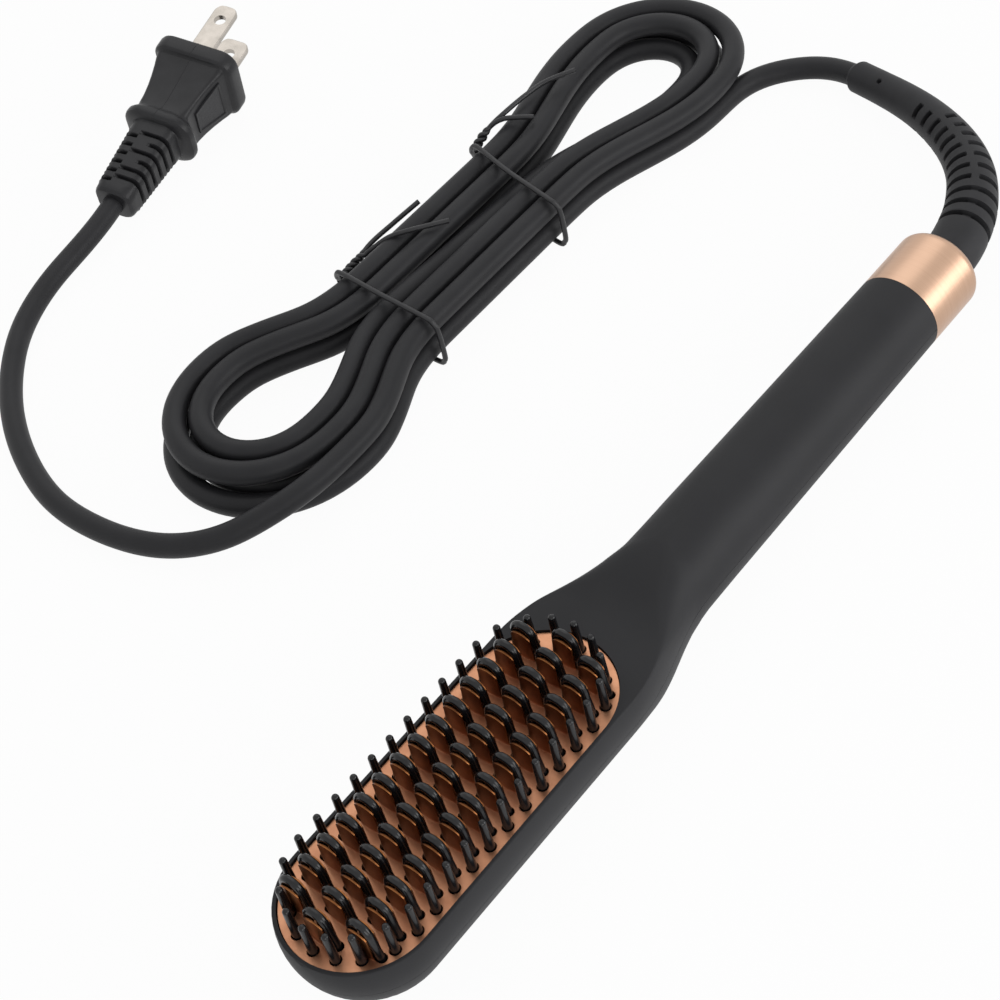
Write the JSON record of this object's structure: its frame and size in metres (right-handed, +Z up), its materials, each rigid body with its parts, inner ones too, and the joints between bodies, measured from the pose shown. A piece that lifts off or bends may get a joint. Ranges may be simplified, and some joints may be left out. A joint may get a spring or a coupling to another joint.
{
  "type": "hot comb",
  "caption": "Straight heated straightening comb with blade teeth under guard arches, edge pins, a round handle with two back buttons, and a mains lead tied in a hank.",
  "frame": {"origin": "middle of the comb's box at the surface it lies on, measured without the free lead and plug", "axes": "+Y from the head to the end ring, +Z up through the teeth, +X to the comb's right seen from above with the head nearest"},
  "size_m": [0.2343, 0.2636, 0.0262],
  "materials": {
    "housing": "soft-touch satin",
    "copper": "copper-coloured, satin",
    "nylon": "gloss",
    "ceramic": "matte",
    "sheet": "plain",
    "film": "clear amber",
    "spring_steel": "rolled",
    "screw_steel": "zinc plated",
    "mica": "layered",
    "bead": "glass bead",
    "fuse": "matte",
    "board": "solder mask",
    "switch_body": "moulded",
    "plunger": "moulded",
    "led": "clear dome",
    "light_guide": "clear",
    "button": "matte",
    "ring_copper": "satin anodised",
    "clamp_plastic": "moulded",
    "lead_jacket": "silicone",
    "core_jacket": "sheathed",
    "cord_jacket": "satin",
    "boot_rubber": "matte",
    "tie": "coated wire",
    "plug_rubber": "moulded, fine texture",
    "blade_nickel": "nickel plated"
  },
  "bodies": {
    "comb": {"front_shell": "housing", "back_shell": "housing", "heat_plate": "copper", "guard_frame": "nylon", "ptc_chips": "ceramic", "heater_electrodes": "sheet", "insulating_films": "film", "heater_clamp": "spring_steel", "heater_screws": "screw_steel", "heat_shield": "mica", "thermistor": "bead", "thermal_fuse": "fuse", "circuit_board": "board", "board_screws": "screw_steel", "power_switch": "switch_body", "temperature_switch": "switch_body", "status_leds": "led", "light_guide": "light_guide", "end_ring": "ring_copper", "cord_clamp": "clamp_plastic", "clamp_screws": "screw_steel", "housing_screws": "screw_steel", "heater_leads": "lead_jacket", "supply_leads": "core_jacket", "cord_tail": "cord_jacket", "cord_boot": "boot_rubber", "cord_lead": "cord_jacket", "cord_hank": "cord_jacket", "cord_to_plug": "cord_jacket", "tie_lower": "tie", "tie_upper": "tie", "plug_body": "plug_rubber", "plug_blades": "blade_nickel"},
    "power_key": {"power_button": "button", "power_plunger": "plunger"},
    "temperature_key": {"temperature_button": "button", "temperature_plunger": "plunger"}
  },
  "joints": [
    {"name": "power_button_press", "type": "slide", "parent": "comb", "child": "power_key", "axis": [0, 0, 1], "range_m": [0, 0.0005], "stiffness_N_per_m": 900},
    {"name": "temperature_button_press", "type": "slide", "parent": "comb", "child": "temperature_key", "axis": [0, 0, 1], "range_m": [0, 0.0005], "stiffness_N_per_m": 900}
  ]
}
